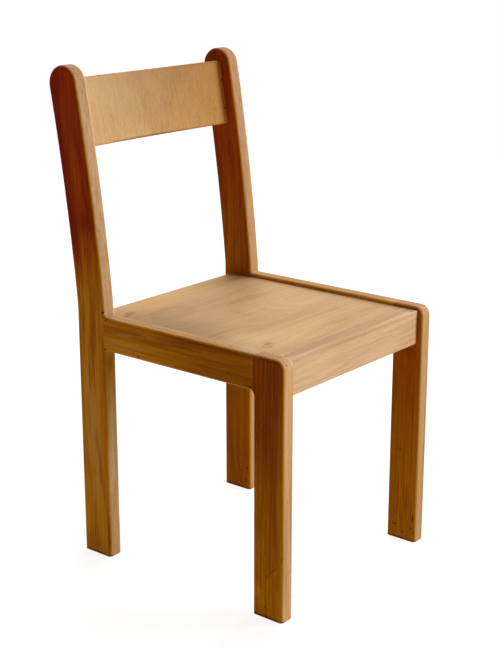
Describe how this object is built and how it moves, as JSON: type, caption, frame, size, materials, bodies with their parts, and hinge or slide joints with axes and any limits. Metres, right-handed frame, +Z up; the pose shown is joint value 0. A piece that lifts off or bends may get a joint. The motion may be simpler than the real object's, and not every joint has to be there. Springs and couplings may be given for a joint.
{
  "type": "choir chair",
  "caption": "Plain beech chair with square-edged legs, posts that curve back from the seat, a bowed backrest board and a flat seat let in between the side frames.",
  "frame": {"origin": "on the floor, under the middle of the chair's box", "axes": "+Z up, -Y the way the chair faces, +X to the right of someone who looks at its front"},
  "size_m": [0.433, 0.5128, 0.885],
  "materials": {
    "leg_and_post_beech": "oiled",
    "rail_beech": "oiled",
    "seat_beech": "oiled",
    "backrest_beech": "oiled",
    "support_beech": "oiled",
    "dowel_beech": "oiled",
    "zinc_screws": "zinc plated"
  },
  "bodies": {
    "root": {"front_leg_left": "leg_and_post_beech", "front_leg_right": "leg_and_post_beech", "rear_post_left": "leg_and_post_beech", "rear_post_right": "leg_and_post_beech", "side_rail_left": "rail_beech", "side_rail_right": "rail_beech", "front_rail": "rail_beech", "rear_rail": "rail_beech", "seat_panel": "seat_beech", "backrest_panel": "backrest_beech", "seat_batten_left": "support_beech", "seat_batten_right": "support_beech", "seat_batten_front": "support_beech", "corner_block_front_left": "support_beech", "corner_block_front_right": "support_beech", "corner_block_rear_left": "support_beech", "corner_block_rear_right": "support_beech", "side_rail_front_dowels_left": "dowel_beech", "side_rail_front_dowels_right": "dowel_beech", "side_rail_rear_dowels_left": "dowel_beech", "side_rail_rear_dowels_right": "dowel_beech", "front_rail_dowels_left": "dowel_beech", "front_rail_dowels_right": "dowel_beech", "rear_rail_dowels_left": "dowel_beech", "rear_rail_dowels_right": "dowel_beech", "backrest_dowels_left": "dowel_beech", "backrest_dowels_right": "dowel_beech", "batten_screws": "zinc_screws", "seat_screws": "zinc_screws", "corner_block_screws": "zinc_screws"}
  },
  "joints": []
}
